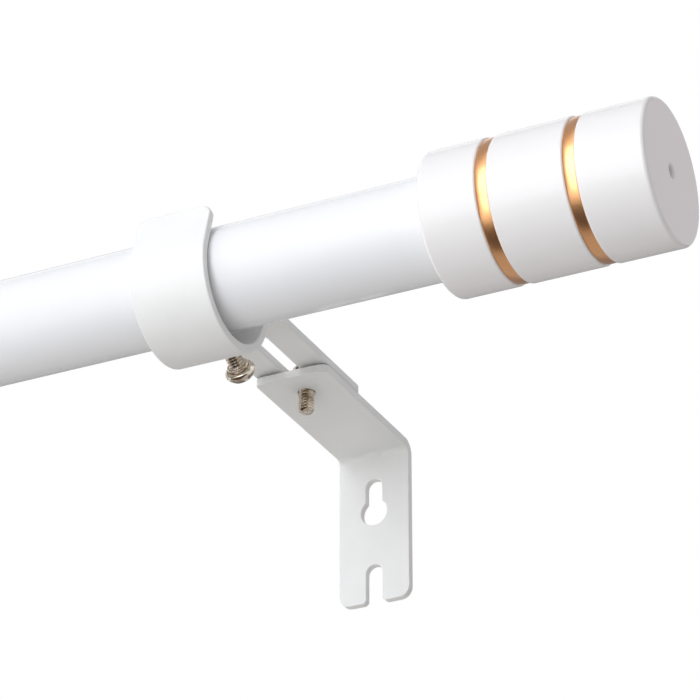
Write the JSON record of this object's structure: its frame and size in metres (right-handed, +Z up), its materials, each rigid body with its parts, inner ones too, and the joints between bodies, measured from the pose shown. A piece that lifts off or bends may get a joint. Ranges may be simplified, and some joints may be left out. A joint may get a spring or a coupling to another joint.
{
  "type": "extendable curtain rod",
  "caption": "Telescoping round curtain rod with cylindrical ringed finials, carried by two adjustable cup brackets that screw to a wall.",
  "frame": {"origin": "centre of the near bracket's keyhole, on the wall plane", "axes": "+X along the rod towards the near finial, +Y into the wall, +Z up"},
  "size_m": [0.823, 0.1177, 0.0621],
  "materials": {
    "rod_white": "gloss white paint",
    "bracket_white": "satin white powder coat",
    "finial_white": "gloss white",
    "screw_nickel": "nickel plated"
  },
  "bodies": {
    "wall_bracket_near": {"wall_bracket_near": "bracket_white"},
    "outer_rod": {"cup_arm_near": "bracket_white", "outer_tube": "rod_white"},
    "inner_rod": {"cup_arm_far": "bracket_white", "inner_tube": "rod_white"},
    "wall_bracket_far": {"wall_bracket_far": "bracket_white"},
    "finial_near": {"finial_near": "finial_white"},
    "lock_screw_near": {"lock_screw_near": "screw_nickel"},
    "set_screw_near": {"set_screw_near": "screw_nickel"},
    "finial_far": {"finial_far": "finial_white"},
    "lock_screw_far": {"lock_screw_far": "screw_nickel"},
    "set_screw_far": {"set_screw_far": "screw_nickel"}
  },
  "joints": [
    {"name": "projection_near", "type": "slide", "parent": "wall_bracket_near", "child": "outer_rod", "axis": [0, -1, 0], "range_m": [-0.0235, 0.0045]},
    {"name": "extension", "type": "slide", "parent": "outer_rod", "child": "inner_rod", "axis": [-1, 0, 0], "range_m": [0, 0.508]},
    {"name": "projection_far", "type": "slide", "parent": "inner_rod", "child": "wall_bracket_far", "axis": [0, 1, 0], "range_m": [-0.0235, 0.0045]},
    {"name": "finial_near_pull", "type": "slide", "parent": "outer_rod", "child": "finial_near", "axis": [1, 0, 0], "range_m": [0, 0.03]},
    {"name": "finial_far_pull", "type": "slide", "parent": "inner_rod", "child": "finial_far", "axis": [-1, 0, 0], "range_m": [0, 0.03]},
    {"name": "lock_screw_near_turn", "type": "hinge", "parent": "wall_bracket_near", "child": "lock_screw_near", "pos_m": [0, -0.0413, 0.02], "axis": [0, 0, 1], "range_deg": [0, 1800]},
    {"name": "set_screw_near_turn", "type": "hinge", "parent": "outer_rod", "child": "set_screw_near", "pos_m": [0, -0.0781, 0.00647], "axis": [0, 0.8829, -0.4695], "range_deg": [0, 1800]},
    {"name": "lock_screw_far_turn", "type": "hinge", "parent": "wall_bracket_far", "child": "lock_screw_far", "pos_m": [-0.579, -0.0413, 0.02], "axis": [0, 0, 1], "range_deg": [0, 1800]},
    {"name": "set_screw_far_turn", "type": "hinge", "parent": "inner_rod", "child": "set_screw_far", "pos_m": [-0.579, -0.07952, 0.00722], "axis": [0, 0.8829, -0.4695], "range_deg": [0, 1800]}
  ],
  "couplings": [
    {"joint": "projection_far", "follows": "projection_near", "ratio": 1}
  ]
}
